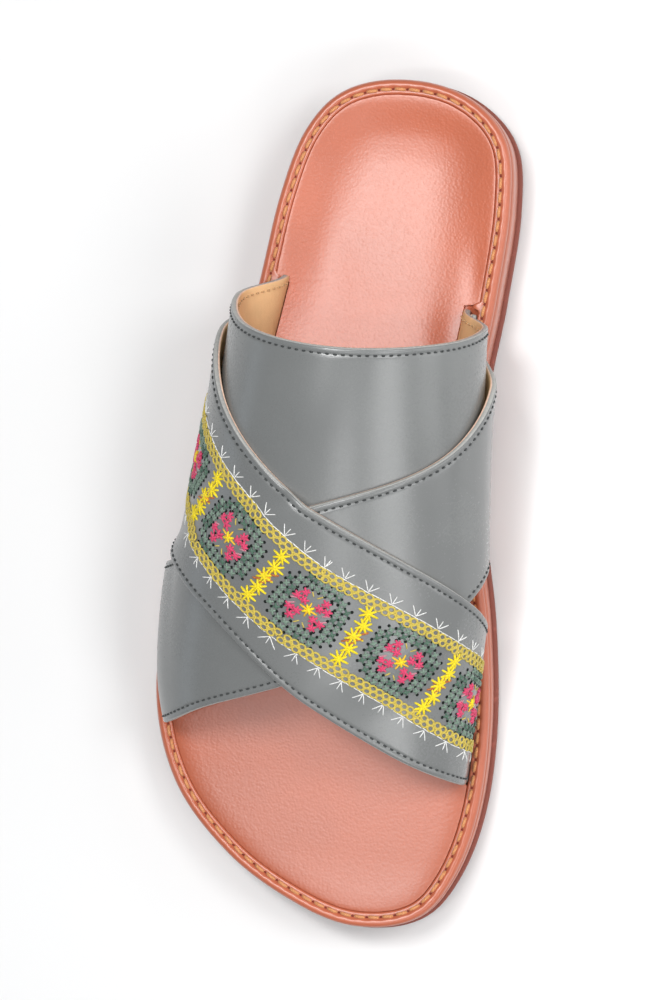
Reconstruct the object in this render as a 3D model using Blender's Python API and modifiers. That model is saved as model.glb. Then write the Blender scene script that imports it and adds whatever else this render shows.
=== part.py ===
"""Cross-strap leather sandal for the right foot, at its real size.

Metres, +Z up. The sandal stands on its sole at z = 0 with the toe towards -Y and the big toe side (medial)
towards +X. Pieces: outsole, midsole (leather-wrapped platform), insole (padded footbed) and upper (a saddle and two
cross straps, joined where they cross). Lengths in the tables are millimetres, measured from the back of the heel.
"""

import math
from collections import namedtuple

import bmesh
import bpy
from mathutils import Vector

MM = 0.001

# Sole, in millimetres
LENGTH = 288.0
OUTSOLE_THICK = 6.0
LAYER_GAP = 0.3
LEDGE = 1.6
RIM_WIDTH = 6.6
SLIT_DEPTH = 3.6
INSOLE_THICK = 3.0
INSOLE_EDGE_DROP = 1.2

# Upper, in millimetres
WALL = 2.3
LAYER_RISE = 2.0
LAST_INSET = 11.3
STRAP_FOOT = 3.3
SLIT_CLEARANCE = 0.4
SLIT_END_CLEARANCE = 2.2
NOTCH_RAMP = 2.0

# Fineness of the faceted solids: a turn runs from 0 at the heel to 1 at the toe, around from 0 to 1 over the foot
SIDE_STEPS = 40
EVEN_CLEAR = 0.008
TURN_MERGE = 0.001
TURN_STEP = 0.002
INNER_RING = 14.0
SPINE_END = 34.0
STRAP_LENGTH_STEPS = 30
STRAP_WIDTH_STEPS = 7
AROUND_STEP = 0.004
WELD = 0.02
SHARP_DEGREES = 40

# Sole outline, rows at equal turns from the back of the heel to the toe tip: x of each side
OUTLINE_COLUMNS = ("lateral", "medial")
OUTLINE = (
    (12.6, 12.6),
    (-9.0, 34.2),
    (-22.0, 48.6),
    (-29.2, 51.8),
    (-34.0, 49.8),
    (-40.2, 46.4),
    (-48.4, 48.4),
    (-57.0, 55.4),
    (-58.9, 58.9),
    (-49.1, 57.5),
    (-27.6, 51.0),
    (-1.4, 39.9),
    (19.3, 19.3),
)

# Side profile: lift of the tread, top of the rim and height of the footbed along the middle
PROFILE_COLUMNS = ("from_heel", "ground", "rim", "seat")
PROFILE = (
    (0, 2.0, 27.6, 24.0),
    (22, 0.0, 27.2, 20.6),
    (75, 0.0, 26.0, 21.6),
    (112, 2.6, 24.6, 23.4),
    (160, 0.0, 21.4, 20.4),
    (205, 0.0, 19.2, 18.4),
    (236, 0.0, 19.0, 18.2),
    (262, 2.2, 20.4, 19.6),
    (288, 7.0, 24.4, 23.4),
)

# Last under the straps: height of the crown and of the widest place, and how far each side bulges past its slit
LAST_COLUMNS = ("from_heel", "crown", "belly", "lateral", "medial")
LAST = (
    (58, 67.0, 24.0, 11.0, 8.0),
    (80, 63.5, 22.5, 9.4, 9.5),
    (100, 60.0, 21.0, 7.6, 12.0),
    (125, 55.5, 18.5, 6.2, 13.0),
    (150, 50.5, 15.5, 4.8, 12.0),
    (180, 43.5, 12.0, 2.6, 7.2),
    (211, 36.5, 9.5, 0.8, 1.8),
    (235, 32.0, 8.0, 0.4, 0.4),
    (274, 27.0, 6.0, 0.4, 0.4),
)

# Strap edges: around is 0 at the lateral slit and 1 at the medial slit, rear and front are from the heel
STRAP_COLUMNS = ("around", "rear", "front")
SADDLE = (
    (0.00, 70, 150),
    (0.15, 78, 158),
    (0.30, 89, 164),
    (0.50, 94.5, 168),
    (0.70, 90, 164),
    (0.85, 83, 156),
    (1.00, 76.5, 147),
)
PLAIN_STRAP = (
    (0.00, 171, 223),
    (0.15, 168, 222),
    (0.30, 161, 215),
    (0.50, 146, 203),
    (0.70, 126, 184),
    (0.85, 100, 164),
    (1.00, 78, 150),
)
EMBROIDERED_STRAP = (
    (0.00, 76, 160),
    (0.15, 90, 165),
    (0.30, 117, 180),
    (0.50, 146, 209),
    (0.70, 167, 227),
    (0.85, 179, 233),
    (1.00, 184, 235),
)
# Ways along the foot in which the embroidered strap rises onto the plain strap and comes down in front of it
CLIMB = 10.0
DESCENT = 26.0
# The plain strap stands off at its lateral rear corner
CORNER_FLARE = 3.5
CORNER_AROUND = (0.07, 0.19)

# Sections through the sole pieces, from the middle of the underside round the edge to the middle of the top
OutsoleRow = namedtuple("OutsoleRow", "inset above_ground")
OUTSOLE_SECTION = (
    (INNER_RING, 0.0),
    (3.0, 0.0),
    (0.9, 1.0),
    (0.0, 2.6),
    (0.0, 5.2),
    (0.6, OUTSOLE_THICK),
    (INNER_RING, OUTSOLE_THICK),
)
RimRow = namedtuple("RimRow", "inset below_rim")
MIDSOLE_EDGE = (
    (LEDGE + 0.2, 6.0),
    (LEDGE - 0.2, 3.2),
    (LEDGE + 0.3, 1.1),
    (LEDGE + 1.6, 0.1),
    (LEDGE + 2.6, 0.3),
    (RIM_WIDTH - 0.3, 1.0),
    (RIM_WIDTH, SLIT_DEPTH),
)
# Rows across the footbed from its edge to the middle: how much of the width is left, and of the drop to the seat
FootbedRow = namedtuple("FootbedRow", "width_share drop_share")
FOOTBED = (
    (0.84, 0.42),
    (0.64, 0.86),
    (0.36, 1.0),
    (0.0, 1.0),
)

LEATHER_GREY = (0.165, 0.172, 0.168, 1.0)
LEATHER_TERRACOTTA = (0.62, 0.22, 0.13, 1.0)
SOLE_BROWN = (0.30, 0.095, 0.065, 1.0)
LEATHER_ROUGHNESS = 0.42
SOLE_ROUGHNESS = 0.6


def round_slopes(knots, values):
    """Slopes that give a rounded curve through the values, each from the row's two neighbours."""
    steps = [b - a for a, b in zip(knots, knots[1:])]
    rises = [(b - a) / h for a, b, h in zip(values, values[1:], steps)]
    inner = [(h1 * r0 + h0 * r1) / (h0 + h1) for h0, h1, r0, r1 in zip(steps, steps[1:], rises, rises[1:])]
    return [2 * rises[0] - inner[0]] + inner + [2 * rises[-1] - inner[-1]]


def level_slopes(knots, values):
    """Slopes that keep a level stretch level and add no waves."""
    steps = [b - a for a, b in zip(knots, knots[1:])]
    rises = [(b - a) / h for a, b, h in zip(values, values[1:], steps)]
    slopes = [rises[0]]
    for h0, h1, r0, r1 in zip(steps, steps[1:], rises, rises[1:]):
        weight0, weight1 = 2 * h1 + h0, 2 * h0 + h1
        turning = r0 * r1 <= 0.0
        slopes.append(0.0 if turning else (weight0 + weight1) / (weight0 / r0 + weight1 / r1))
    return slopes + [rises[-1]]


def curve_through(knots, values, slopes_of):
    """A smooth function through the rows of a table."""
    slopes = slopes_of(knots, values)

    def at(x):
        x = min(max(x, knots[0]), knots[-1])
        i = max(k for k in range(len(knots) - 1) if knots[k] <= x)
        h = knots[i + 1] - knots[i]
        t = (x - knots[i]) / h
        return (
            (1 + 2 * t) * (1 - t) ** 2 * values[i]
            + t * (1 - t) ** 2 * h * slopes[i]
            + t * t * (3 - 2 * t) * values[i + 1]
            + t * t * (t - 1) * h * slopes[i + 1]
        )

    return at


def table_curves(columns, rows, slopes_of=round_slopes):
    """One smooth function of the first column for each of the other columns."""
    knots = [row[0] for row in rows]
    return {
        name: curve_through(knots, [row[i] for row in rows], slopes_of)
        for i, name in enumerate(columns)
        if i > 0
    }


def outline_curves():
    """The outline's sides as functions of the turn, 0 at the heel and 1 at the toe."""
    last = len(OUTLINE) - 1
    rows = [(i / last, *row) for i, row in enumerate(OUTLINE)]
    return table_curves(("turn", *OUTLINE_COLUMNS), rows)


EDGE = outline_curves()
SIDE = table_curves(PROFILE_COLUMNS, PROFILE, level_slopes)
FOOT = table_curves(LAST_COLUMNS, LAST)
PLAIN_EDGES = table_curves(STRAP_COLUMNS, PLAIN_STRAP)


def ramp(x, start, end):
    """0 before start, 1 after end, smooth between."""
    t = min(max((x - start) / (end - start), 0.0), 1.0)
    return t * t * (3 - 2 * t)


def turn_of(from_heel):
    return math.acos(1 - 2 * min(max(from_heel / LENGTH, 0.0), 1.0)) / math.pi


def from_heel_at(turn):
    return LENGTH * (1 - math.cos(math.pi * turn)) / 2


def y_of(from_heel):
    return LENGTH / 2 - from_heel


def side_x(side, from_heel):
    return EDGE[side](turn_of(from_heel))


def inset_x(side, from_heel, inset):
    """x of the line that runs this far inside the outline."""
    slope = (side_x(side, from_heel + 1) - side_x(side, from_heel - 1)) / 2
    inward = 1 if side == "lateral" else -1
    return side_x(side, from_heel) + inward * inset * math.hypot(1, slope)


def edge_point(side, turn):
    """A point of the sole's outline and the direction towards the middle of the sole there."""
    before, after = max(turn - TURN_STEP, 0.0), min(turn + TURN_STEP, 1.0)
    dx = EDGE[side](after) - EDGE[side](before)
    dy = y_of(from_heel_at(after)) - y_of(from_heel_at(before))
    size = math.hypot(dx, dy)
    inward = 1 if side == "lateral" else -1
    point = Vector((EDGE[side](turn), y_of(from_heel_at(turn))))
    if turn in (0.0, 1.0):
        return point, Vector((0.0, -1.0 if turn == 0.0 else 1.0))
    return point, Vector((-dy, dx)) * (inward / size)


def strap_turns():
    """Turns at the ends of the slits, so that the insole's notches have true corners."""
    turns = []
    for _, start, end, _ in slit_rows():
        for edge, away in ((start, -1), (end, 1)):
            turns += [turn_of(edge + away * reach) for reach in (SLIT_END_CLEARANCE, SLIT_END_CLEARANCE + NOTCH_RAMP)]
    return turns


def stations():
    """The places round the outline, from the heel down the lateral side to the toe and back up the medial side."""
    own = sorted(strap_turns())
    own = [t for i, t in enumerate(own) if i == 0 or t - own[i - 1] > TURN_MERGE]
    even = [i / SIDE_STEPS for i in range(SIDE_STEPS + 1)]
    turns = sorted(own + [t for t in even if all(abs(t - o) > EVEN_CLEAR for o in own)])
    return [("lateral", t) for t in turns] + [("medial", t) for t in turns[-2:0:-1]]


def middle_x(from_heel):
    return (side_x("lateral", from_heel) + side_x("medial", from_heel)) / 2


def spine_point(turn):
    """The place on the sole's middle line that both sides close to."""
    from_heel = min(max(from_heel_at(turn), SPINE_END), LENGTH - SPINE_END)
    return Vector((middle_x(from_heel), y_of(from_heel)))


def ring_point(side, turn, inset, share=1.0):
    """A point inset from the outline, drawn towards the middle line by 1 - share."""
    point, inward = edge_point(side, turn)
    spine = spine_point(turn)
    return spine + (point + inward * inset - spine) * share


def new_object(name, mesh, colour, roughness):
    material = bpy.data.materials.new(name)
    material.use_nodes = True
    shader = material.node_tree.nodes["Principled BSDF"]
    shader.inputs["Base Color"].default_value = colour
    shader.inputs["Roughness"].default_value = roughness
    shader.inputs["Metallic"].default_value = 0.0
    mesh.materials.append(material)
    obj = bpy.data.objects.new(name, mesh)
    bpy.data.collections["sandal"].objects.link(obj)
    return obj


def rings_mesh(name, rings):
    """A closed body from rings of equal length, bridged in order, with its first and last ring closed."""
    bm = bmesh.new()
    grid = [[bm.verts.new(Vector(p) * MM) for p in ring] for ring in rings]
    count = len(grid[0])
    for low, high in zip(grid, grid[1:]):
        for i in range(count):
            j = (i + 1) % count
            bm.faces.new((low[i], low[j], high[j], high[i]))
    bmesh.ops.remove_doubles(bm, verts=bm.verts, dist=WELD * MM)
    bmesh.ops.dissolve_degenerate(bm, edges=bm.edges, dist=WELD * MM)
    bmesh.ops.triangulate(bm, faces=bm.faces)
    bmesh.ops.recalc_face_normals(bm, faces=bm.faces)
    mesh = bpy.data.meshes.new(name)
    bm.to_mesh(mesh)
    bm.free()
    mesh.shade_smooth()
    mesh.set_sharp_from_angle(angle=math.radians(SHARP_DEGREES))
    return mesh


def ring(places, height, inset, share=1.0):
    """One ring of points. Inset and height may change from place to place."""
    points = []
    for side, turn in places:
        flat = ring_point(side, turn, inset(side, turn) if callable(inset) else inset, share)
        points.append((flat.x, flat.y, height(LENGTH / 2 - flat.y)))
    return points


def make_outsole():
    places = stations()

    def level(above):
        return lambda from_heel: SIDE["ground"](from_heel) + above

    rows = [OutsoleRow(*row) for row in OUTSOLE_SECTION]
    rings = [ring(places, level(row.above_ground), row.inset) for row in rows]
    first = ring(places, level(0.0), INNER_RING, 0.0)
    last = ring(places, level(OUTSOLE_THICK), INNER_RING, 0.0)
    return new_object("outsole", rings_mesh("outsole", [first, *rings, last]), SOLE_BROWN, SOLE_ROUGHNESS)


def footbed_height(share):
    """Height of the footbed's surface: the rim's level less a small drop at its edge, the seat along the middle."""

    def at(from_heel):
        edge = SIDE["rim"](from_heel) - INSOLE_EDGE_DROP
        return edge + (SIDE["seat"](from_heel) - edge) * share

    return at


def tray_height(share):
    """Floor of the midsole's tray under the insole."""

    def at(from_heel):
        edge = SIDE["rim"](from_heel) - SLIT_DEPTH
        middle = SIDE["seat"](from_heel) - INSOLE_THICK - LAYER_GAP
        return edge + (middle - edge) * share

    return at


def make_midsole():
    """The leather-wrapped platform: flat underside, rounded rim and a tray for the insole and the strap ends."""
    places = stations()

    def underside(from_heel):
        return SIDE["ground"](from_heel) + OUTSOLE_THICK + LAYER_GAP

    def below_rim(drop):
        return lambda from_heel: SIDE["rim"](from_heel) - drop

    rings = [
        ring(places, underside, INNER_RING, 0.0),
        ring(places, underside, INNER_RING),
        ring(places, underside, LEDGE + 1.0),
    ]
    rings += [ring(places, below_rim(row.below_rim), row.inset) for row in map(RimRow._make, MIDSOLE_EDGE)]
    for row in map(FootbedRow._make, FOOTBED):
        rings.append(ring(places, tray_height(row.drop_share), LAST_INSET + SLIT_CLEARANCE, row.width_share))
    return new_object("midsole", rings_mesh("midsole", rings), LEATHER_TERRACOTTA, LEATHER_ROUGHNESS)


def slit_rows():
    """Where straps go down beside the insole: side, start, end and how deep their layers reach from the outline."""
    inner = LAST_INSET + SLIT_CLEARANCE
    outer = LAST_INSET - LAYER_RISE + SLIT_CLEARANCE
    rows = []
    for side, row in (("lateral", 0), ("medial", -1)):
        for strap, depth in ((SADDLE, inner), (PLAIN_STRAP, outer), (EMBROIDERED_STRAP, outer)):
            rows.append((side, strap[row][1], strap[row][2], depth))
    return rows


def insole_inset(side, turn):
    """Inset of the insole's edge: beside the rim, or further in where straps go down into the slit."""
    from_heel = from_heel_at(turn)
    plain = RIM_WIDTH + SLIT_CLEARANCE
    deepest = plain
    for own_side, start, end, depth in slit_rows():
        if own_side == side:
            first, last = start - SLIT_END_CLEARANCE, end + SLIT_END_CLEARANCE
            inside = ramp(from_heel, first - NOTCH_RAMP, first) - ramp(from_heel, last, last + NOTCH_RAMP)
            deepest = max(deepest, plain + (depth - plain) * inside)
    return deepest


def make_insole():
    """The padded footbed, which lies in the tray and is notched where straps go down beside it."""
    places = stations()
    inner = LAST_INSET + SLIT_CLEARANCE

    def underside(share):
        floor = tray_height(share)
        return lambda from_heel: floor(from_heel) + LAYER_GAP

    rows = [FootbedRow(*row) for row in FOOTBED]
    rings = [ring(places, underside(row.drop_share), inner, row.width_share) for row in reversed(rows)]
    rings.append(ring(places, underside(0.0), insole_inset))
    rings.append(ring(places, footbed_height(0.0), insole_inset))
    rings += [ring(places, footbed_height(row.drop_share), inner, row.width_share) for row in rows]
    return new_object("insole", rings_mesh("insole", rings), LEATHER_TERRACOTTA, LEATHER_ROUGHNESS)


def last_point(from_heel, around):
    """Point of the last in the plane across the sole: up from the lateral slit, over the crown, down to the medial."""
    side, share = ("lateral", 2 * around) if around <= 0.5 else ("medial", 2 - 2 * around)
    outward = -1 if side == "lateral" else 1
    left = inset_x("lateral", from_heel, LAST_INSET)
    right = inset_x("medial", from_heel, LAST_INSET)
    half = (right - left) / 2
    crown, belly, bulge = (FOOT[name](from_heel) for name in ("crown", "belly", side))
    under = math.acos(half / (half + bulge))
    angle = -under + share * (math.pi / 2 + under)
    if angle >= 0:
        out, up = (half + bulge) * math.cos(angle), belly + (crown - belly) * math.sin(angle)
    else:
        climbed = 1 + math.sin(angle) / math.sin(under)
        out, up = half + bulge * math.sin(math.pi / 2 * climbed) ** 2, belly * climbed
    return Vector(((left + right) / 2 + outward * out, SIDE["rim"](from_heel) + up))


def last_section(from_heel, around):
    """Point of the last and its outward direction in the plane across the sole."""
    before = last_point(from_heel, max(around - AROUND_STEP, 0.0))
    after = last_point(from_heel, min(around + AROUND_STEP, 1.0))
    along = (after - before).normalized()
    return last_point(from_heel, around), Vector((-along.y, along.x))


def strap_point(edges, lift, around, across):
    """Inner face of a strap: its ends below around 0 and above 1 go straight down into the slit."""
    held = min(max(around, 0.0), 1.0)
    from_heel = edges["rear"](held) + (edges["front"](held) - edges["rear"](held)) * across
    point, outward = last_section(from_heel, held)
    if held == around:
        point = point + outward * lift(around, from_heel, across)
    else:
        side = -1 if held == 0.0 else 1
        point = Vector((point.x + side * lift(held, from_heel, across), point.y - STRAP_FOOT))
    return Vector((point.x, y_of(from_heel), point.y))


def make_strap(name, edge_rows, lift):
    """A band of leather bent over the last, as an open sheet thickened outwards."""
    edges = table_curves(STRAP_COLUMNS, edge_rows)
    bm = bmesh.new()
    rows = STRAP_LENGTH_STEPS + 2
    bmesh.ops.create_grid(bm, x_segments=rows, y_segments=STRAP_WIDTH_STEPS, size=1.0)
    for vert in bm.verts:
        row = round((vert.co.x + 1) / 2 * rows)
        around = (row - 1) / STRAP_LENGTH_STEPS
        vert.co = strap_point(edges, lift, around, (1 - vert.co.y) / 2) * MM
    bmesh.ops.recalc_face_normals(bm, faces=bm.faces)
    middle = sorted(bm.faces, key=lambda f: f.calc_center_median().z)[-1]
    if middle.normal.z < 0:
        bmesh.ops.reverse_faces(bm, faces=bm.faces)
    mesh = bpy.data.meshes.new(name)
    bm.to_mesh(mesh)
    bm.free()
    mesh.shade_smooth()
    strap = new_object(name, mesh, LEATHER_GREY, LEATHER_ROUGHNESS)
    wall = strap.modifiers.new("wall", "SOLIDIFY")
    wall.thickness = WALL * MM
    wall.offset = 1.0
    wall.use_even_offset = True
    strap.modifiers.new("facets", "TRIANGULATE")
    return strap


def joined(base, *others):
    """Joins straps where they cross, into one body. The others become hidden helpers."""
    for other in others:
        union = base.modifiers.new("join " + other.name, "BOOLEAN")
        union.operation = "UNION"
        union.solver = "EXACT"
        union.object = other
        other.hide_render = True
        other.display_type = "WIRE"
        bpy.data.collections["helpers"].objects.link(other)
        bpy.data.collections["sandal"].objects.unlink(other)
    return base


def on_last(around, from_heel, across):
    return 0.0


def on_saddle(around, from_heel, across):
    """Lift of the plain strap: over the saddle, flared at its lateral rear corner."""
    rise, fall = CORNER_AROUND
    flare = ramp(around, 0.0, rise) - ramp(around, rise, fall)
    return LAYER_RISE + CORNER_FLARE * flare * (1 - across)


def on_plain_strap(around, from_heel, across):
    """Lift of the embroidered strap: over the saddle, and over the plain strap wherever that lies under it."""
    rear, front = PLAIN_EDGES["rear"](around), PLAIN_EDGES["front"](around)
    over = ramp(from_heel, rear - CLIMB, rear) - ramp(from_heel, front, front + DESCENT)
    return LAYER_RISE * (1 + over)


def make_upper():
    saddle = make_strap("upper", SADDLE, on_last)
    plain = make_strap("plain_strap", PLAIN_STRAP, on_saddle)
    embroidered = make_strap("embroidered_strap", EMBROIDERED_STRAP, on_plain_strap)
    return joined(saddle, plain, embroidered)


def main():
    for obj in list(bpy.data.objects):
        bpy.data.objects.remove(obj)
    for name in ("sandal", "helpers"):
        collection = bpy.data.collections.new(name)
        bpy.context.scene.collection.children.link(collection)
    make_outsole()
    make_midsole()
    make_insole()
    make_upper()


main()
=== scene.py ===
"""Dresses the cross-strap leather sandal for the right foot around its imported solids.

Metres, +Z up, toe towards -Y and big toe side towards +X, as in the solids. Tables and paths are
in millimetres, with lengths measured from the back of the heel, until a mesh is placed.
"""

import math

import bpy
import numpy as np
from mathutils import Matrix, Vector


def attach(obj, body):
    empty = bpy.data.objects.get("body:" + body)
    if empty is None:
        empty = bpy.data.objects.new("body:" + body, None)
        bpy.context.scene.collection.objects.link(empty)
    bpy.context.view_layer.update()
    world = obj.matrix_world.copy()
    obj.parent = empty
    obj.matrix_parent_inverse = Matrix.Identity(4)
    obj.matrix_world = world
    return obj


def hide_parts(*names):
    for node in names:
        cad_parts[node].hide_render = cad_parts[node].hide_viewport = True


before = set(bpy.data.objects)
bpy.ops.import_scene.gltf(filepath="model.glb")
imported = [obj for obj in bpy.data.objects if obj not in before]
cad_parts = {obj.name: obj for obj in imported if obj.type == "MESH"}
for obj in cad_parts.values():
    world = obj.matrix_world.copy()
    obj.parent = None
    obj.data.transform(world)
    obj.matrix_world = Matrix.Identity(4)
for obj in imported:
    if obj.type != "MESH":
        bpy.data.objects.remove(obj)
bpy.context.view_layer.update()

MM = 0.001

# Sole, as in the solids
LENGTH = 288.0
OUTSOLE_THICK = 6.0
LAYER_GAP = 0.3
RIM_WIDTH = 6.6
SLIT_DEPTH = 3.6
INNER_RING = 14.0
SPINE_END = 34.0
TURN_STEP = 0.002
FINE_STEPS = 6000

# Upper, as in the solids
WALL = 2.3
LAYER_RISE = 2.0
LAST_INSET = 11.3
STRAP_FOOT = 3.3
SLIT_CLEARANCE = 0.4
SLIT_END_CLEARANCE = 0.05
NOTCH_RAMP = 1.1
CLIMB = 10.0
DESCENT = 26.0
CORNER_FLARE = 3.5
CORNER_AROUND = (0.07, 0.19)

# Sole outline at equal turns from the back of the heel to the toe tip: x of the lateral and medial side
OUTLINE = (
    (12.6, 12.6),
    (-9.0, 34.2),
    (-22.0, 48.6),
    (-29.2, 51.8),
    (-34.0, 49.8),
    (-40.2, 46.4),
    (-48.4, 48.4),
    (-57.0, 55.4),
    (-58.9, 58.9),
    (-49.1, 57.5),
    (-27.6, 51.0),
    (-1.4, 39.9),
    (19.3, 19.3),
)
# From heel, lift of the tread, top of the rim, height of the footbed along the middle
PROFILE = (
    (0, 2.0, 27.6, 24.0),
    (22, 0.0, 27.2, 20.6),
    (75, 0.0, 26.0, 21.6),
    (112, 2.6, 24.6, 23.4),
    (160, 0.0, 21.4, 20.4),
    (205, 0.0, 19.2, 18.4),
    (236, 0.0, 19.0, 18.2),
    (262, 2.2, 20.4, 19.6),
    (288, 7.0, 24.4, 23.4),
)
# From heel, height of the last's crown and widest place, lateral and medial bulge
LAST = (
    (58, 67.0, 24.0, 11.0, 8.0),
    (80, 63.5, 22.5, 9.4, 9.5),
    (100, 60.0, 21.0, 7.6, 12.0),
    (125, 55.5, 18.5, 6.2, 13.0),
    (150, 50.5, 15.5, 4.8, 12.0),
    (180, 43.5, 12.0, 2.6, 7.2),
    (211, 36.5, 9.5, 0.8, 1.8),
    (235, 32.0, 8.0, 0.4, 0.4),
    (274, 27.0, 6.0, 0.4, 0.4),
)
# Around the foot from the lateral to the medial slit, rear edge, front edge
SADDLE = (
    (0.00, 70, 150),
    (0.15, 78, 158),
    (0.30, 89, 164),
    (0.50, 94.5, 168),
    (0.70, 90, 164),
    (0.85, 83, 156),
    (1.00, 76.5, 147),
)
PLAIN_STRAP = (
    (0.00, 171, 223),
    (0.15, 168, 222),
    (0.30, 161, 215),
    (0.50, 146, 203),
    (0.70, 126, 184),
    (0.85, 100, 164),
    (1.00, 78, 150),
)
EMBROIDERED_STRAP = (
    (0.00, 76, 160),
    (0.15, 90, 165),
    (0.30, 117, 180),
    (0.50, 146, 209),
    (0.70, 167, 227),
    (0.85, 179, 233),
    (1.00, 184, 235),
)

# Sewing along the rim
RIM_STITCH_INSET = 4.9
RIM_STITCH_PITCH = 4.8
RIM_STITCH_LENGTH = 4.1
RIM_STITCH_SLANT = 0.12
RIM_THREAD = 0.62
RIM_HOLE = 0.44
STATIONS_PER_STITCH = 8

# Sewing along the straps
EDGE_STITCH_INSET = 2.3
EDGE_STITCH_PITCH = 2.55
EDGE_STITCH_LENGTH = 1.4
EDGE_THREAD = 0.33

# Embroidered band, across it from the middle: cells of the chart, chain, outline and sprigs
CELL_ALONG = 2.42
CELL_ACROSS = 2.2
REPEAT = 34.3
BLOCKS = 7
CHAIN_OFFSETS = (12.0, 13.8)
CHAIN_PITCH = 2.7
OUTLINE_OFFSET = 15.0
SPRIG_PITCH = 8.6
SPRIG_REACH = 4.1
BAND_REACH = 21.0
HOLE_RADIUS = 0.58
HOLE_RISE = 0.1
UNEVEN = 0.17
HAND = np.random.default_rng(7)


# Curves through the tables


def round_slopes(knots, values):
    """Slopes that give a rounded curve through the values."""
    steps = np.diff(knots)
    rises = np.diff(values) / steps
    inner = (steps[1:] * rises[:-1] + steps[:-1] * rises[1:]) / (steps[:-1] + steps[1:])
    return np.concatenate([[2 * rises[0] - inner[0]], inner, [2 * rises[-1] - inner[-1]]])


def level_slopes(knots, values):
    """Slopes that keep a level stretch level and add no waves."""
    steps = np.diff(knots)
    rises = np.diff(values) / steps
    slopes = [rises[0]]
    for h0, h1, r0, r1 in zip(steps, steps[1:], rises, rises[1:]):
        weight0, weight1 = 2 * h1 + h0, 2 * h0 + h1
        slopes.append(0.0 if r0 * r1 <= 0.0 else (weight0 + weight1) / (weight0 / r0 + weight1 / r1))
    return np.array(slopes + [rises[-1]])


def curve_through(knots, values, slopes_of=round_slopes):
    """A smooth function through the rows of a table."""
    knots, values = np.asarray(knots, float), np.asarray(values, float)
    slopes = slopes_of(knots, values)

    def at(x):
        x = np.clip(x, knots[0], knots[-1])
        i = np.clip(np.searchsorted(knots, x, side="right") - 1, 0, len(knots) - 2)
        h = knots[i + 1] - knots[i]
        t = (x - knots[i]) / h
        return (
            (1 + 2 * t) * (1 - t) ** 2 * values[i]
            + t * (1 - t) ** 2 * h * slopes[i]
            + t * t * (3 - 2 * t) * values[i + 1]
            + t * t * (t - 1) * h * slopes[i + 1]
        )

    return at


def table_curves(rows, names, slopes_of=round_slopes):
    """One smooth function of the first column for each of the named other columns."""
    columns = list(zip(*rows))
    return {name: curve_through(columns[0], columns[i + 1], slopes_of) for i, name in enumerate(names)}


def ramp(x, start, end):
    """0 before start, 1 after end, smooth between."""
    t = np.clip((x - start) / (end - start), 0.0, 1.0)
    return t * t * (3 - 2 * t)


def hump(x, start, top, end):
    """A smooth rise from start to top and fall to end."""
    return ramp(x, start, top) * (1 - ramp(x, top, end))


TURNS = np.linspace(0.0, 1.0, len(OUTLINE))
EDGE = table_curves([(t, *row) for t, row in zip(TURNS, OUTLINE)], ("lateral", "medial"))
SIDE = table_curves(PROFILE, ("ground", "rim", "seat"), level_slopes)
FOOT = table_curves(LAST, ("crown", "belly", "lateral", "medial"))
PLAIN_EDGES = table_curves(PLAIN_STRAP, ("rear", "front"))


# The sole's plan


def turn_of(from_heel):
    return np.arccos(1 - 2 * np.clip(from_heel / LENGTH, 0.0, 1.0)) / np.pi


def from_heel_at(turn):
    return LENGTH * (1 - np.cos(np.pi * turn)) / 2


def y_of(from_heel):
    return LENGTH / 2 - from_heel


def side_x(side, from_heel):
    return EDGE[side](turn_of(from_heel))


def inset_x(side, from_heel, inset):
    """x of the line that runs this far inside the outline."""
    slope = (side_x(side, from_heel + 1) - side_x(side, from_heel - 1)) / 2
    inward = 1 if side == "lateral" else -1
    return side_x(side, from_heel) + inward * inset * np.hypot(1, slope)


def round_turn(u):
    """Turn and side at u, which runs from the heel down the lateral side to the toe and back."""
    return 1 - np.abs(1 - 2 * (u % 1.0)), (u % 1.0) < 0.5


def outline_at(u):
    """Points of the sole's outline and the directions towards the middle of the sole."""
    turn, lateral = round_turn(u)
    before, after = np.clip(turn - TURN_STEP, 0, 1), np.clip(turn + TURN_STEP, 0, 1)
    x = np.where(lateral, EDGE["lateral"](turn), EDGE["medial"](turn))
    dx_lateral = EDGE["lateral"](after) - EDGE["lateral"](before)
    dx_medial = EDGE["medial"](after) - EDGE["medial"](before)
    dx = np.where(lateral, dx_lateral, dx_medial)
    dy = y_of(from_heel_at(after)) - y_of(from_heel_at(before))
    inward = np.where(lateral, 1.0, -1.0) / np.hypot(dx, dy)
    return np.stack([x, y_of(from_heel_at(turn))], -1), np.stack([-dy * inward, dx * inward], -1)


def spine_at(u):
    """Places on the sole's middle line that both sides close to."""
    turn, _ = round_turn(u)
    from_heel = np.clip(from_heel_at(turn), SPINE_END, LENGTH - SPINE_END)
    middle = (side_x("lateral", from_heel) + side_x("medial", from_heel)) / 2
    return np.stack([middle, y_of(from_heel)], -1)


def inset_points(u, inset):
    points, inward = outline_at(u)
    return points + inward * np.asarray(inset, float)[..., None]


def even_round(inset, count):
    """Values of u at equal distances round a line inside the outline, both ends, and its length."""
    fine = np.linspace(0.0, 1.0, FINE_STEPS + 1)
    points = inset_points(fine, np.full_like(fine, inset))
    travelled = np.concatenate([[0.0], np.cumsum(np.linalg.norm(np.diff(points, axis=0), axis=1))])
    return np.interp(np.linspace(0.0, travelled[-1], count + 1), travelled, fine), travelled[-1]


def heel_distance(flat):
    return LENGTH / 2 - flat[..., 1]


def raised(flat, heights):
    """Points in space from points in plan and their heights."""
    return np.concatenate([flat, heights[..., None]], -1)


def with_height(flat, height):
    """Points in space from points in plan and a function of the distance from the heel."""
    return raised(flat, height(heel_distance(flat)))


# Making meshes


def start_fresh():
    bpy.ops.object.select_all(action="DESELECT")


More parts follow.
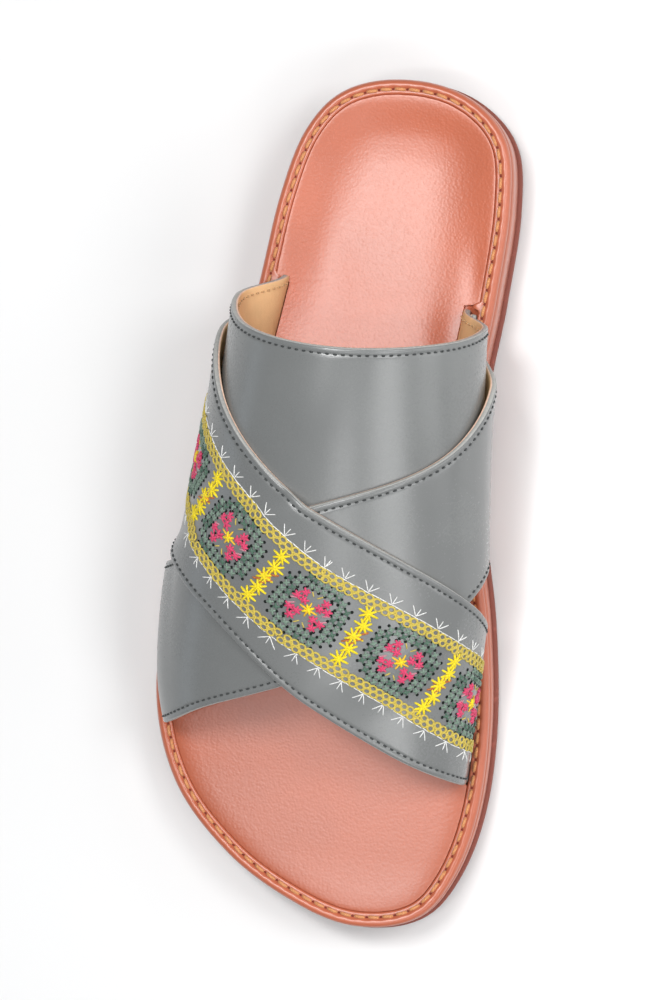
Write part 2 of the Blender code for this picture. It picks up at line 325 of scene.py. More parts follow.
def bent_grid(name, table, row_finish=None):
    """A grid primitive bent through a table of points, in millimetres, rows by columns."""
    rows, columns = table.shape[0] - 1, table.shape[1] - 1
    start_fresh()
    bpy.ops.mesh.primitive_grid_add(x_subdivisions=columns, y_subdivisions=rows, size=1.0)
    piece = bpy.context.object
    piece.name = name
    piece.data.name = name
    flat = np.empty(len(piece.data.vertices) * 3)
    piece.data.vertices.foreach_get("co", flat)
    flat = flat.reshape(-1, 3) + 0.5
    i = np.rint(flat[:, 0] * columns).astype(int)
    j = np.rint(flat[:, 1] * rows).astype(int)
    if row_finish is not None:
        centres = np.empty(len(piece.data.polygons) * 3)
        piece.data.polygons.foreach_get("center", centres)
        face_rows = np.floor((centres.reshape(-1, 3)[:, 1] + 0.5) * rows).astype(int)
        piece.data.polygons.foreach_set("material_index", np.asarray(row_finish)[face_rows])
    piece.data.vertices.foreach_set("co", (table[j, i] * MM).ravel())
    piece.data.update()
    return piece


WELD = 0.004


def close_seams(piece):
    """Merges the edges that meet and turns the faces outwards."""
    bpy.ops.object.mode_set(mode="EDIT")
    bpy.ops.mesh.select_all(action="SELECT")
    bpy.ops.mesh.remove_doubles(threshold=WELD * MM)
    bpy.ops.mesh.dissolve_degenerate(threshold=WELD * MM)
    bpy.ops.mesh.normals_make_consistent(inside=False)
    bpy.ops.object.mode_set(mode="OBJECT")
    bpy.ops.object.shade_smooth()
    return piece


def taken_pattern(piece):
    """Points and triangles of a small pattern piece, in a fixed order. The piece is then put away."""
    mesh = piece.data
    points = np.array([v.co for v in mesh.vertices])
    order = np.lexsort(np.round(points, 5).T)
    place = np.argsort(order)
    faces = []
    for polygon in mesh.polygons:
        corners = place[np.array(polygon.vertices)]
        corners = np.roll(corners, -corners.argmin()).tolist()
        faces += [(corners[0], *pair) for pair in zip(corners[1:], corners[2:])]
    bpy.data.objects.remove(piece)
    bpy.data.meshes.remove(mesh)
    return points[order], np.array(sorted(faces))


def thread_pattern():
    """One short stitch along x from -1 to 1: a bead drawn out, its middle proud and its ends sunk."""
    start_fresh()
    bpy.ops.mesh.primitive_uv_sphere_add(segments=6, ring_count=6, radius=1.0)
    points, faces = taken_pattern(bpy.context.object)
    along = points[:, 2]
    fuller = np.sqrt(np.maximum(1 - along**6, 0.0) / np.maximum(1 - along**2, 1e-6))
    fuller = np.where(np.abs(along) > 0.999, 0.0, fuller)
    side, up = points[:, 0] * fuller, points[:, 1] * fuller
    return np.stack([along, side, up + 0.75 - 1.25 * along**4], -1), faces


def ring_pattern():
    """One loop of chain stitch, a round link of unit radius."""
    start_fresh()
    bpy.ops.mesh.primitive_torus_add(
        major_segments=14, minor_segments=5, major_radius=0.78, minor_radius=0.27
    )
    points, faces = taken_pattern(bpy.context.object)
    return points + np.array([0.0, 0.0, 0.16]), faces


def hole_pattern():
    """A needle hole with its rim drawn in, a low bead of unit radius that carries the hole's painted
    shade.
    """
    start_fresh()
    bpy.ops.mesh.primitive_uv_sphere_add(segments=8, ring_count=4, radius=1.0)
    points, faces = taken_pattern(bpy.context.object)
    return points * np.array([1.0, 1.0, 0.22]), faces


def sewn(name, pattern, origins, along, side, up, finish):
    """Copies of a pattern laid at places and directions in millimetres, joined into one piece."""
    points, faces = pattern
    count, size = len(origins), len(points)
    laid = (
        origins[:, None, :]
        + points[None, :, 0:1] * along[:, None, :]
        + points[None, :, 1:2] * side[:, None, :]
        + points[None, :, 2:3] * up[:, None, :]
    )
    joined = faces[None, :, :] + (np.arange(count) * size)[:, None, None]
    mesh = bpy.data.meshes.new(name)
    mesh.from_pydata((laid.reshape(-1, 3) * MM).tolist(), [], joined.reshape(-1, 3).tolist())
    mesh.shade_smooth()
    mesh.materials.append(finish)
    piece = bpy.data.objects.new(name, mesh)
    bpy.context.scene.collection.objects.link(piece)
    return piece


def unit(vectors):
    return vectors / np.maximum(np.linalg.norm(vectors, axis=-1, keepdims=True), 1e-9)


def sew_threads(name, starts, ends, ups, radius, finish):
    """One thread from each start to its end, lying on the surface whose outward direction is up."""
    along = (ends - starts) / 2
    side = unit(np.cross(ups, along))
    up = unit(np.cross(along, side))
    return sewn(name, THREAD, (starts + ends) / 2, along, side * radius, up * radius, finish)


def press_holes(name, places, ups, radius, finish):
    """One needle hole at each place, a low bead painted with the hole's shade."""
    upright = np.abs(ups[:, 2:3]) > 0.8
    reference = np.where(upright, np.array([[1.0, 0.0, 0.0]]), np.array([[0.0, 0.0, 1.0]]))
    along = unit(np.cross(ups, reference))
    side = np.cross(ups, along)
    return sewn(name, HOLE, places, along * radius, side * radius, ups * radius, finish)


THREAD = thread_pattern()
RING = ring_pattern()
HOLE = hole_pattern()


# Finishes


class Value:
    """A socket in a finish's nodes. Arithmetic on values adds their Math nodes."""

    def __init__(self, finish, socket):
        self.finish = finish
        self.socket = socket

    def reckon(self, operation, first, second):
        return self.finish.node("Math", {"operation": operation}, {0: first, 1: second})

    def __add__(self, other):
        return self.reckon("ADD", self, other)

    __radd__ = __add__

    def __sub__(self, other):
        return self.reckon("SUBTRACT", self, other)

    def __rsub__(self, other):
        return self.reckon("SUBTRACT", other, self)

    def __mul__(self, other):
        return self.reckon("MULTIPLY", self, other)

    __rmul__ = __mul__


class Finish:
    """A material whose shader is fed by nodes."""

    def __init__(self, name, constants):
        self.material = bpy.data.materials.new(name)
        self.material.use_nodes = True
        self.tree = self.material.node_tree
        self.shader = self.tree.nodes["Principled BSDF"]
        for key, value in constants.items():
            self.feed(self.shader.inputs[key], value)

    def feed(self, socket, value):
        if isinstance(value, Value):
            self.tree.links.new(value.socket, socket)
        else:
            socket.default_value = value

    def node(self, kind, settings, inputs, output=0):
        """Adds a node of this kind, sets it up, feeds its sockets and returns one of its outputs."""
        node = self.tree.nodes.new("ShaderNode" + kind)
        for key, value in settings.items():
            if key == "stops":
                node.color_ramp.elements[0].position, node.color_ramp.elements[1].position = value
            else:
                setattr(node, key, value)
        for key, value in inputs.items():
            self.feed(node.inputs[key], value)
        return Value(self, node.outputs[output])

    def place(self):
        return self.node("TexCoord", {}, {}, "Object")

    def noise(self, place, scale, detail=3.0, roughness=0.5):
        sockets = {"Vector": place, "Scale": scale, "Detail": detail, "Roughness": roughness}
        return self.node("TexNoise", {}, sockets, "Fac")

    def between(self, value, low, high):
        """0 where the value is below low, 1 above high."""
        return self.node("ValToRGB", {"stops": (low, high)}, {"Fac": value})

    def blend(self, share, first, second):
        return self.node("Mix", {"data_type": "RGBA"}, {0: share, 6: first, 7: second}, 2)

    def finish_with(self, colour, roughness, height, depth):
        bump = self.node("Bump", {}, {"Height": height, "Distance": depth, "Strength": 1.0})
        self.feed(self.shader.inputs["Base Color"], colour)
        self.feed(self.shader.inputs["Roughness"], roughness)
        self.feed(self.shader.inputs["Normal"], bump)
        return self.material


def tone(colour, factor):
    return tuple(min(c * factor, 1.0) for c in colour[:3]) + (1.0,)


# Painted shade darkens the toe and fades towards the heel, where more light falls, between shares of a
# length of 0.25 m about the middle
LENGTHWISE = 4.0
TOE_SHADE_SPAN = (0.04, 0.34)


def leather(name, colour, grain, depth, gloss, coat, mottle, toe_shade=0.0):
    """Smooth dyed leather: pebble grain, cloudy dye, painted shade darker at the toe, gloss that wavers.
    """
    finish = Finish(name, {"Coat Weight": coat, "Coat Roughness": 0.32, "Specular IOR Level": 0.45})
    place = finish.place()
    cloud = finish.between(finish.noise(place, 24.0, 3.0), 0.32, 0.68)
    fibre = finish.noise(place, 900.0, 4.0, 0.6)
    cells = {"Vector": place, "Scale": grain, "Smoothness": 0.8}
    pebble = finish.node("TexVoronoi", {"feature": "SMOOTH_F1"}, cells, "Distance")
    dye = finish.blend(cloud, tone(colour, 1.0 - mottle), tone(colour, 1.0 + mottle))
    dye = finish.blend(0.16 * finish.between(fibre, 0.35, 0.7), dye, tone(colour, 0.7))
    towards_heel = finish.node("SeparateXYZ", {}, {"Vector": place}, "Y")
    toe = 1.0 - finish.between(towards_heel * LENGTHWISE + 0.5, *TOE_SHADE_SPAN)
    # painted shade: the colour darkened towards the toe
    dye = finish.blend(toe_shade * toe, dye, tone(colour, 0.45))
    shine = gloss + 0.10 * fibre + 0.05 * cloud - 0.07
    return finish.finish_with(dye, shine, fibre * 0.5 - pebble * 0.6, depth)


def tanned_lining(name, colour):
    """Undyed lining leather, matt, with fibres."""
    finish = Finish(name, {"Specular IOR Level": 0.3})
    place = finish.place()
    fibre = finish.noise(place, 700.0, 5.0, 0.65)
    cloud = finish.noise(place, 60.0, 3.0)
    dye = finish.blend(finish.between(cloud, 0.35, 0.65), tone(colour, 0.88), tone(colour, 1.08))
    return finish.finish_with(dye, 0.62 + 0.2 * fibre, fibre, 0.00012)


def cut_edge(name, colour):
    """Cut and burnished edge of a strap."""
    finish = Finish(name, {"Specular IOR Level": 0.4})
    place = finish.place()
    fibre = finish.noise(place, 1100.0, 4.0, 0.6)
    dye = finish.blend(finish.between(fibre, 0.3, 0.7), tone(colour, 0.82), tone(colour, 1.1))
    return finish.finish_with(dye, 0.4 + 0.2 * fibre, fibre, 0.00008)


def thread(name, colour):
    """Spun thread: fine fibres, painted shade a little darker between them, silky."""
    finish = Finish(name, {"Sheen Weight": 0.25, "Sheen Roughness": 0.4, "Specular IOR Level": 0.35})
    place = finish.place()
    strand = finish.noise(place, 2600.0, 2.0, 0.6)
    # painted shade: darker where the fibres' bump is low
    dye = finish.blend(finish.between(strand, 0.3, 0.66), tone(colour, 0.62), tone(colour, 1.12))
    return finish.finish_with(dye, 0.5 + 0.15 * strand, strand, 0.00022)


def shade_of_hole(name, colour):
    """Painted shade of a needle hole, laid on the bead that stands for it."""
    finish = Finish(name, {"Specular IOR Level": 0.1})
    fibre = finish.noise(finish.place(), 2000.0, 2.0)
    dye = finish.blend(fibre, tone(colour, 0.6), tone(colour, 1.4))
    return finish.finish_with(dye, 0.8 + 0.1 * fibre, fibre, 0.0001)


def sole_rubber(name, colour):
    """Moulded rubber with a fine matt skin and faint specks."""
    finish = Finish(name, {"Specular IOR Level": 0.22})
    place = finish.place()
    skin = finish.noise(place, 1500.0, 3.0, 0.6)
    specks = finish.between(finish.noise(place, 420.0, 2.0), 0.62, 0.72)
    dye = finish.blend(specks, colour, tone(colour, 1.35))
    return finish.finish_with(dye, 0.5 + 0.2 * skin, skin, 0.00012)


GREY = (0.172, 0.178, 0.177, 1.0)
TERRACOTTA = (0.525, 0.140, 0.072, 1.0)
TAN = (0.80, 0.52, 0.27, 1.0)
CREAM = (0.80, 0.55, 0.42, 1.0)
BROWN = (0.27, 0.082, 0.060, 1.0)

grey_leather = leather("grey_leather", GREY, 1500.0, 0.000018, 0.27, 0.45, 0.06)
grey_edge = cut_edge("grey_edge", (0.42, 0.42, 0.40, 1.0))
# its last number sets how dark the painted shade at the footbed's toe is
footbed_leather = leather("footbed_leather", TERRACOTTA, 1150.0, 0.00016, 0.37, 0.50, 0.07, 0.28)
rim_leather = leather("rim_leather", tone(TERRACOTTA, 0.94), 1400.0, 0.00003, 0.30, 0.28, 0.06)
lining_leather = tanned_lining("lining_leather", TAN)
lining_edge = cut_edge("lining_edge", CREAM)
rubber = sole_rubber("sole_rubber", BROWN)
grey_thread = thread("grey_thread", (0.045, 0.050, 0.050, 1.0))
tan_thread = thread("tan_thread", (0.72, 0.31, 0.125, 1.0))
lining_thread = thread("lining_thread", (0.60, 0.36, 0.17, 1.0))
sage_thread = thread("sage_thread", (0.20, 0.285, 0.225, 1.0))
green_thread = thread("green_thread", (0.085, 0.160, 0.115, 1.0))
pink_thread = thread("pink_thread", (0.72, 0.06, 0.16, 1.0))
crimson_thread = thread("crimson_thread", (0.50, 0.018, 0.075, 1.0))
mauve_thread = thread("mauve_thread", (0.62, 0.27, 0.33, 1.0))
yellow_thread = thread("yellow_thread", (0.93, 0.72, 0.012, 1.0))
straw_thread = thread("straw_thread", (0.64, 0.50, 0.085, 1.0))
gold_thread = thread("gold_thread", (0.90, 0.55, 0.02, 1.0))
orange_thread = thread("orange_thread", (0.90, 0.38, 0.012, 1.0))
russet_thread = thread("russet_thread", (0.50, 0.15, 0.035, 1.0))
white_thread = thread("white_thread", (0.90, 0.90, 0.88, 1.0))
# painted shade of the needle holes, put on dark beads
grey_hole_shade = shade_of_hole("grey_hole_shade", (0.012, 0.015, 0.014, 1.0))
red_hole_shade = shade_of_hole("red_hole_shade", (0.20, 0.040, 0.025, 1.0))


def keep(piece, slot, *finishes):
    """Gives a piece its finishes and sets it on the sandal. Its slot is not used."""
    for finish in finishes:
        piece.data.materials.append(finish)
    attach(piece, "root")
    return piece


# The sole


OUTSOLE_STATIONS = 280
TREAD_FIELD = 0.9
# Inset from the outline, share of the way out from the middle line, height above the ground
OUTSOLE_SECTION = (
    (INNER_RING, 0.0, TREAD_FIELD),
    (INNER_RING, 1.0, TREAD_FIELD),
    (9.9, 1.0, TREAD_FIELD),
    (9.4, 1.0, 0.15),
    (9.0, 1.0, 0.0),
    (3.2, 1.0, 0.0),
    (2.0, 1.0, 0.3),
    (0.9, 1.0, 1.0),
    (0.25, 1.0, 1.9),
    (0.0, 1.0, 2.8),
    (0.0, 1.0, 4.7),
    (0.12, 1.0, 5.4),
    (0.6, 1.0, 5.9),
    (1.2, 1.0, OUTSOLE_THICK),
    (INNER_RING, 1.0, OUTSOLE_THICK),
    (INNER_RING, 0.0, OUTSOLE_THICK),
)


def make_outsole():
    """Rubber sole: a border that meets the ground, a field let in behind it and a ledge on top."""
    u, _ = even_round(0.0, OUTSOLE_STATIONS)
    rows = []
    spine = spine_at(u)
    for inset, share, above in OUTSOLE_SECTION:
        flat = spine + (inset_points(u, np.full_like(u, inset)) - spine) * share
        rows.append(with_height(flat, lambda d, above=above: SIDE["ground"](d) + above))
    sole = close_seams(bent_grid("sole_rubber_base", np.array(rows)))
    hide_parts("outsole")
    return keep(sole, "outsole", rubber)


def tread_pattern():
    """One tread bar: a block with its edges taken off."""
    start_fresh()
    bpy.ops.mesh.primitive_cube_add(size=1.0)
    block = bpy.context.object
    bpy.ops.object.mode_set(mode="EDIT")
    bpy.ops.mesh.select_all(action="SELECT")
    bpy.ops.mesh.bevel(offset=0.12, segments=2)
    bpy.ops.object.mode_set(mode="OBJECT")
    return taken_pattern(block)


def make_tread():
    """Bars across the underside, between the borders."""
    margin, width, height, pitch = 11.0, 4.2, 1.3, 7.4
    heel_border, toe_border = 17.0, 15.0
    stations = np.arange(heel_border, LENGTH - toe_border, pitch)
    left = inset_x("lateral", stations, margin)
    right = inset_x("medial", stations, margin)
    zeros = np.zeros_like(stations)
    ground = SIDE["ground"](stations)
    slope = (SIDE["ground"](stations + 1) - SIDE["ground"](stations - 1)) / 2
    origins = np.stack([(left + right) / 2, y_of(stations), ground + height / 2], -1)
    along = np.stack([right - left, zeros, zeros], -1)
    side = np.stack([zeros, zeros + width, -slope * width], -1)
    up = np.stack([zeros, zeros, zeros + height], -1)
    bars = sewn("sole_tread_bars", tread_pattern(), origins, along, side, up, rubber)
    return keep(bars, "outsole")


# Soft dents in the footbed: from heel, x, half length, half width, depth
DENTS = (
    (66, 41, 13, 4.5, -0.9),
    (86, 33, 10, 5.0, 0.7),
    (60, -12, 16, 8.0, -0.45),
    (190, 8, 40, 30, -0.5),
    (248, 20, 16, 26, 0.35),
)
BOWL_REACH = 27.0
BOWL_CURVE = 2.5
PAD_ROLL = 6.5
BED_THICK = 1.3
BRIM_DROP = 1.0
SEAT_LIFT = 0.2
SEWN_STEPS = 1200
PAD_RISE = curve_through((0, 60, 120, 170, 288), (0.8, 0.8, 0.7, 0.7, 0.7), level_slopes)
BED_INSET = RIM_WIDTH + 0.1
SEWN_LINE = inset_points(np.linspace(0.0, 1.0, SEWN_STEPS + 1), np.full(SEWN_STEPS + 1, BED_INSET))

# How far the rim's top lies below its highest line, from the bead over the sewn groove to the footbed
RIM_TOP = curve_through(
    (1.6, 2.1, 2.8, 3.5, 4.2, 4.9, 5.4, 6.0, 6.4),
    (1.5, 0.62, 0.12, 0.0, 0.14, 0.78, 0.86, 0.82, 1.05),
)


def bed_top(flat):
    """Height of the padded footbed's top at points in plan."""
    from_heel = heel_distance(flat)
    inside = np.linalg.norm(flat[:, None, :] - SEWN_LINE[None, :, :], axis=-1).min(1)
    brim = SIDE["rim"](from_heel) - BRIM_DROP
    roll = np.sqrt(1 - (1 - np.clip(inside / PAD_ROLL, 0, 1)) ** 2)
    bowl = 1 - (1 - np.clip(inside / BOWL_REACH, 0, 1)) ** BOWL_CURVE
    seat = SIDE["seat"](from_heel) + SEAT_LIFT
    height = brim + (seat - brim) * bowl + PAD_RISE(from_heel) * roll
    for place, x, half_length, half_width, depth in DENTS:
        gone = ((from_heel - place) / half_length) ** 2 + ((flat[:, 0] - x) / half_width) ** 2
        height = height + depth * np.exp(-gone)
    return height


# Where the rim reaches in behind the outer straps, from heel: starts, is full, is full still, ends
LATERAL_TUCK = (67.6, 69.0, 74.2, 75.6)
MEDIAL_TUCK = (74.4, 75.6, 76.9, 77.7)
TUCK_DEPTH = 2.1
TUCK_FROM = (5.2, 6.3)


def stretch(x, start, full, full_still, end):
    return ramp(x, start, full) - ramp(x, full_still, end)


def rim_tuck(u):
    """How far the rim reaches in behind the outer straps, against the saddle's end."""
    turn, lateral = round_turn(u)
    from_heel = from_heel_at(turn)
    beside = np.where(lateral, stretch(from_heel, *LATERAL_TUCK), stretch(from_heel, *MEDIAL_TUCK))
    return TUCK_DEPTH * beside


# Platform's outside from the bottom up: inset, share of the wall's height
WALL_SECTION = ((1.25, 0.0), (1.1, 0.35), (1.1, 0.7), (1.35, 1.0))
WALL_START = 0.5
WALL_END = 4.7
# Under the bead: inset, drop below the rim
BEAD_SECTION = ((1.95, 4.25), (2.0, 4.0), (1.75, 3.75), (1.62, 3.3), (1.45, 2.5))
RIM_INSETS = (1.6, 1.85, 2.15, 2.5, 2.9, 3.3, 3.7, 4.05, 4.35, 4.65, 4.9, 5.15, 5.5, 5.9, 6.3)
# The rim's inner wall: inset, drop below the rim
RIM_INSIDE = ((6.58, 1.5), (6.62, SLIT_DEPTH))
TRAY_SHARES = (1.0, 0.85, 0.7, 0.5, 0.25, 0.0)
# Puckers that the rim stitches pull: inset of the middle, half width, depth
PUCKER_INSET = 4.55
PUCKER_WIDTH = 0.6
PUCKER_DEPTH = 0.30


def make_platform(stitches):
    """Leather-wrapped platform: side wall, bead on top, groove for the sewing and the tray inside."""
    count = stitches * STATIONS_PER_STITCH
    u, _ = even_round(RIM_STITCH_INSET, count)
    phase = np.arange(count + 1) / STATIONS_PER_STITCH
    pull = 0.5 + 0.5 * np.cos(2 * np.pi * phase)
    spine = spine_at(u)

    def row(inset, height):
        return with_height(inset_points(u, np.full_like(u, inset)), height)

    def base(above):
        return lambda d: SIDE["ground"](d) + OUTSOLE_THICK + LAYER_GAP + above

    def under_rim(drop):
        return lambda d: SIDE["rim"](d) - drop

    def wall(share):
        low, high = base(WALL_START), under_rim(WALL_END)
        return lambda d: low(d) + (high(d) - low(d)) * share

    rows = [with_height(spine, base(0.0)), row(INNER_RING, base(0.0))]
    rows += [row(1.9, base(0.0)), row(1.5, base(0.25))]
    rows += [row(inset, wall(share)) for inset, share in WALL_SECTION]
    rows += [row(inset, under_rim(drop)) for inset, drop in BEAD_SECTION]
    for inset in RIM_INSETS:
        near = math.exp(-(((inset - PUCKER_INSET) / PUCKER_WIDTH) ** 2))
        pucker = PUCKER_DEPTH * near * pull
        flat = inset_points(u, inset + rim_tuck(u) * ramp(inset, *TUCK_FROM))
        rows.append(raised(flat, SIDE["rim"](heel_distance(flat)) - RIM_TOP(inset) - pucker))
    for inset, drop in RIM_INSIDE:
        rows.append(with_height(inset_points(u, inset + rim_tuck(u)), under_rim(drop)))
    tray = inset_points(u, np.full_like(u, LAST_INSET + SLIT_CLEARANCE))
    for share in TRAY_SHARES:
        flat = spine + (tray - spine) * share
        slit = SIDE["rim"](heel_distance(flat)) - SLIT_DEPTH
        rows.append(raised(flat, np.minimum(slit, bed_top(flat) - BED_THICK - LAYER_GAP)))
    platform = close_seams(bent_grid("wrapped_platform", np.array(rows)))
    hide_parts("midsole")
    return keep(platform, "midsole", rim_leather)


def rim_point(u, inset):
    flat = inset_points(u, np.full_like(u, inset))
    return raised(flat, SIDE["rim"](heel_distance(flat)) - RIM_TOP(inset))


def sew_rim(stitches):
    """Round the whole rim: long stitches in the groove and the needle holes between them, as beads painted
    with the holes' shade.
    """
    u, travelled = even_round(RIM_STITCH_INSET, stitches)
    reach = RIM_STITCH_LENGTH / travelled
    fine, _ = even_round(RIM_STITCH_INSET, FINE_STEPS)
    evenly = np.linspace(0, 1, FINE_STEPS + 1)
    shares = np.arange(stitches) / stitches + 0.5 / stitches
    start = np.interp(shares - reach / 2, evenly, fine)
    end = np.interp(shares + reach / 2, evenly, fine)
    starts = rim_point(start, RIM_STITCH_INSET + RIM_STITCH_SLANT)
    ends = rim_point(end, RIM_STITCH_INSET - RIM_STITCH_SLANT)
    ups = np.tile(np.array([[0.0, 0.0, 1.0]]), (stitches, 1))
    threads = sew_threads("rim_stitches", starts, ends, ups, RIM_THREAD, tan_thread)
    between = rim_point(u[:-1], RIM_STITCH_INSET)
    keep(press_holes("rim_needle_hole_shade", between, ups, RIM_HOLE, red_hole_shade), "midsole")
    return keep(threads, "midsole")


def slit_rows():
    """Where straps go down beside the footbed: side, start, end and how deep their layers reach."""
    inner = LAST_INSET + SLIT_CLEARANCE
    outer = LAST_INSET - LAYER_RISE + SLIT_CLEARANCE
    rows = []
    for side, row in (("lateral", 0), ("medial", -1)):
        for strap, depth in ((SADDLE, inner), (PLAIN_STRAP, outer), (EMBROIDERED_STRAP, outer)):
            rows.append((side, strap[row][1], strap[row][2], depth))
    return rows


def footbed_inset(u):
    """Inset of the footbed's edge: against the rim, or further in beside the straps."""
    turn, lateral = round_turn(u)
    from_heel = from_heel_at(turn)
    deepest = np.full_like(u, BED_INSET)
    for side, start, end, depth in slit_rows():
        first, last = start - SLIT_END_CLEARANCE, end + SLIT_END_CLEARANCE
        inside = ramp(from_heel, first - NOTCH_RAMP, first) - ramp(from_heel, last, last + NOTCH_RAMP)
        own = lateral if side == "lateral" else ~lateral
        deeper = np.maximum(deepest, BED_INSET + (depth - BED_INSET) * inside)
        deepest = np.where(own, deeper, deepest)
    return deepest


BED_STATIONS = 900
BED_FOOT = 3.3
BED_SIDE = 2.0
BED_UNDERSIDE_SHARES = (1.0, 0.75, 0.5, 0.3, 0.15)
# Rows of the rolled edge, by distance in from it, and then rows to the middle line
BED_EDGE_ROWS = (0.0, 0.12, 0.35, 0.7, 1.2, 1.8, 2.5, 3.3, 4.2, 5.1, 6.0, 7.2)
BED_INNER_ROWS = 29


def make_footbed():
    """Padded leather footbed: a heel bowl, a flat cushion in front, its edge rolled to the sewing."""
    u, _ = even_round(RIM_WIDTH, BED_STATIONS)
    edge = inset_points(u, footbed_inset(u))
    spine = spine_at(u)
    reach = np.linalg.norm(spine - edge, axis=1)

    def surface(away):
        flat = edge + (spine - edge) * np.clip(away / reach, 0.0, 1.0)[:, None]
        return raised(flat, bed_top(flat))

    def below(away, drop):
        points = surface(away)
        low = SIDE["rim"](heel_distance(points)) - drop
        points[:, 2] = np.minimum(low, points[:, 2] - BED_THICK)
        return points

    nothing = np.zeros_like(u)
    rows = [below(reach * share, BED_FOOT) for share in BED_UNDERSIDE_SHARES]
    rows += [below(nothing + 3.0, BED_FOOT), below(nothing + 0.1, BED_FOOT), below(nothing, BED_SIDE)]
    rows += [surface(nothing + away) for away in BED_EDGE_ROWS]
    rolled = BED_EDGE_ROWS[-1]
    for share in np.linspace(0.0, 1.0, BED_INNER_ROWS + 1)[1:]:
        rows.append(surface(rolled + (reach - rolled) * share))
    footbed = close_seams(bent_grid("padded_footbed", np.array(rows)))
    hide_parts("insole")
    return keep(footbed, "insole", footbed_leather)


# The straps


def last_point(from_heel, around):
    """Points of the last in planes across the sole, from the lateral slit over to the medial one."""
    lateral = around <= 0.5
    share = np.where(lateral, 2 * around, 2 - 2 * around)
    outward = np.where(lateral, -1.0, 1.0)
    left = inset_x("lateral", from_heel, LAST_INSET)
    right = inset_x("medial", from_heel, LAST_INSET)
    half = (right - left) / 2
    crown, belly = FOOT["crown"](from_heel), FOOT["belly"](from_heel)
    bulge = np.where(lateral, FOOT["lateral"](from_heel), FOOT["medial"](from_heel))
    under = np.arccos(half / (half + bulge))
    angle = -under + share * (np.pi / 2 + under)
    climbed = 1 + np.sin(np.minimum(angle, 0.0)) / np.sin(under)
    above = angle >= 0
    swell = half + bulge * np.sin(np.pi / 2 * climbed) ** 2
    out = np.where(above, (half + bulge) * np.cos(angle), swell)
    up = np.where(above, belly + (crown - belly) * np.sin(angle), belly * climbed)
    return np.stack([(left + right) / 2 + outward * out, SIDE["rim"](from_heel) + up], -1)


AROUND_STEP = 0.004
FOOT_AROUND = 0.03


def strap_point(edges, lift, around, across):
    """Inner face of a strap: its ends, below around 0 and above 1, go straight down into the slit."""
    held = np.clip(around, 0.0, 1.0)
    from_heel = edges["rear"](held) + (edges["front"](held) - edges["rear"](held)) * across
    before = last_point(from_heel, np.clip(held - AROUND_STEP, 0, 1))
    after = last_point(from_heel, np.clip(held + AROUND_STEP, 0, 1))
    along = unit(after - before)
    outward = np.stack([-along[..., 1], along[..., 0]], -1)
    lifted = lift(held, from_heel, across)
    point = last_point(from_heel, held)
    side = np.where(around < 0.5, -1.0, 1.0)
    ended = around != held
    drop = STRAP_FOOT * np.abs(around - held) / FOOT_AROUND
    x = np.where(ended, point[..., 0] + side * lifted, point[..., 0] + outward[..., 0] * lifted)
    z = np.where(ended, point[..., 1] - drop, point[..., 1] + outward[..., 1] * lifted)
    return np.stack([x, y_of(from_heel), z], -1)


class Strap:
    """A strap's inner face as a fine grid of points and outward directions."""

    AROUND_COUNT = 420
    ACROSS_COUNT = 72

    def __init__(self, rows, lift):
        edges = table_curves(rows, ("rear", "front"))
        self.around = np.linspace(-FOOT_AROUND, 1 + FOOT_AROUND, self.AROUND_COUNT + 1)
        self.across = np.linspace(0.0, 1.0, self.ACROSS_COUNT + 1)
        around, across = np.meshgrid(self.around, self.across, indexing="ij")
        self.points = strap_point(edges, lift, around, across)
        self.by_around = np.gradient(self.points, self.around, axis=0)
        self.by_across = np.gradient(self.points, self.across, axis=1)
        outward = unit(np.cross(self.by_across, self.by_around))
        middle = outward[self.AROUND_COUNT // 2, self.ACROSS_COUNT // 2]
        self.outward = outward if middle[2] > 0 else -outward

    def look_up(self, grid, around, across):
        """Values of a grid at places between its points."""
        i = (around - self.around[0]) / (self.around[1] - self.around[0])
        j = across / (self.across[1] - self.across[0])
        i = np.clip(i, 0, self.AROUND_COUNT - 1e-6)
        j = np.clip(j, 0, self.ACROSS_COUNT - 1e-6)
        i0, j0 = np.floor(i).astype(int), np.floor(j).astype(int)
        fi, fj = (i - i0)[..., None], (j - j0)[..., None]
        near = grid[i0, j0] * (1 - fj) + grid[i0, j0 + 1] * fj
        far = grid[i0 + 1, j0] * (1 - fj) + grid[i0 + 1, j0 + 1] * fj
        return near * (1 - fi) + far * fi

    def face(self, around, across, height):
        """Points at a height over the inner face, and the outward directions there."""
        outward = unit(self.look_up(self.outward, around, across))
        return self.look_up(self.points, around, across) + outward * height[..., None], outward

    def width_at_edge(self, around, edge):
        """Millimetres across, square to the edge, for a full step from edge to edge."""
        across = np.full_like(around, 0.0 if edge == "rear" else 1.0)
        run = unit(self.look_up(self.by_around, around, across))
        step = self.look_up(self.by_across, around, across)
        return np.linalg.norm(step - run * np.sum(step * run, -1, keepdims=True), axis=-1)

    def from_edge(self, around, edge, distance):
        """Place across at a distance from an edge, measured square to it."""
        share = distance / self.width_at_edge(around, edge)
        return share if edge == "rear" else 1 - share


SEWN_HEIGHT = 0.905
# A strap's edge from lining to top: distance from the edge, height as a share of the wall
EDGE_SECTION = (
    (1.6, 0.0),
    (0.5, 0.0),
    (0.16, 0.08),
    (0.06, 0.16),
    (0.06, 0.26),
    (0.18, 0.31),
    (0.02, 0.38),
    (0.0, 0.6),
    (0.1, 0.78),
    (0.32, 0.92),
    (0.7, 1.0),
    (1.2, 1.01),
    (1.75, 0.985),
    (2.05, 0.93),
    (EDGE_STITCH_INSET, SEWN_HEIGHT),
    (2.55, 0.93),
    (2.85, 0.985),
    (3.5, 1.0),
    (4.6, 1.0),
)
LINING_STEPS = 3
LINING_EDGE_STEPS = 5
GREY_EDGE_STEPS = 10
FIELD_STEPS = 22
LINING_FIELD_STEPS = 11
AROUND_STEPS = 200
GREY_FACE, LINING_FACE, LINING_CUT, GREY_CUT = range(4)


